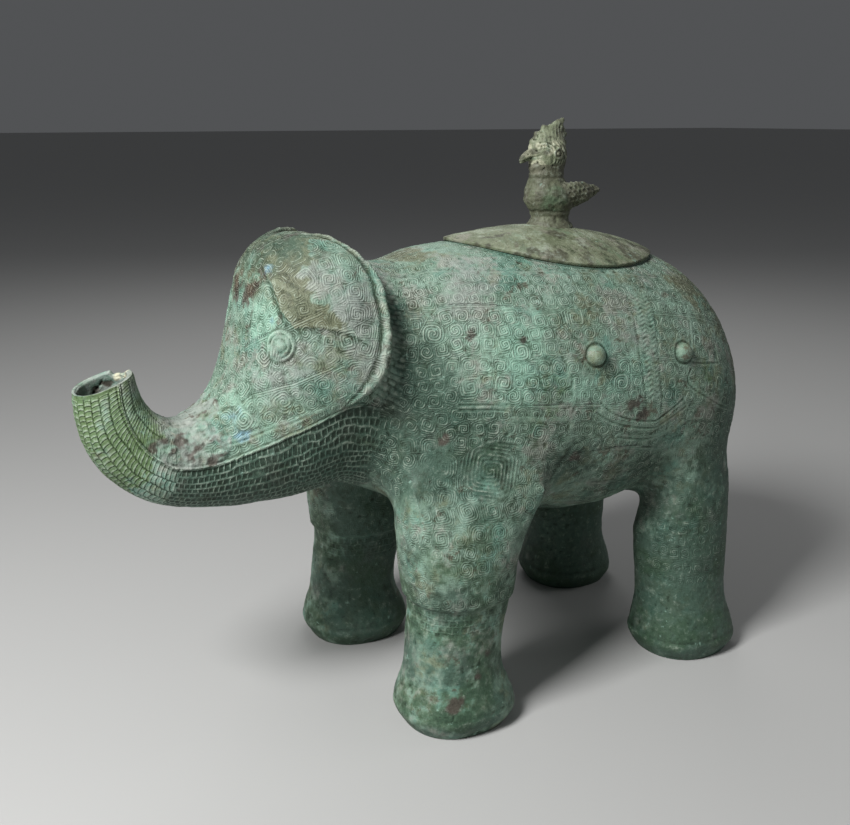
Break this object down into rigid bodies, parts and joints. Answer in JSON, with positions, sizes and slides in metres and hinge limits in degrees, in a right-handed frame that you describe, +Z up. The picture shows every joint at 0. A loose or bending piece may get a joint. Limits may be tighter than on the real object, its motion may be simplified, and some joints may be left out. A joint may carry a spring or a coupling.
{
  "type": "elephant-shaped wine vessel",
  "caption": "Hollow cast-bronze wine vessel in the shape of a standing elephant with raised trunk, filled through an oval lid with a bird knob and poured from the trunk.",
  "frame": {"origin": "on the ground, under the middle of the bounding box", "axes": "+X from trunk to rump, so the elephant faces -X; +Y across the body, its left side towards -Y; +Z up"},
  "size_m": [0.5303, 0.247, 0.4259],
  "materials": {
    "green_patina_bronze": "tin bronze under a matt green and brown patina",
    "olive_patina_bronze": "tin bronze under a matt olive patina"
  },
  "bodies": {
    "root": {"vessel": "green_patina_bronze", "lid": "olive_patina_bronze"}
  },
  "joints": []
}
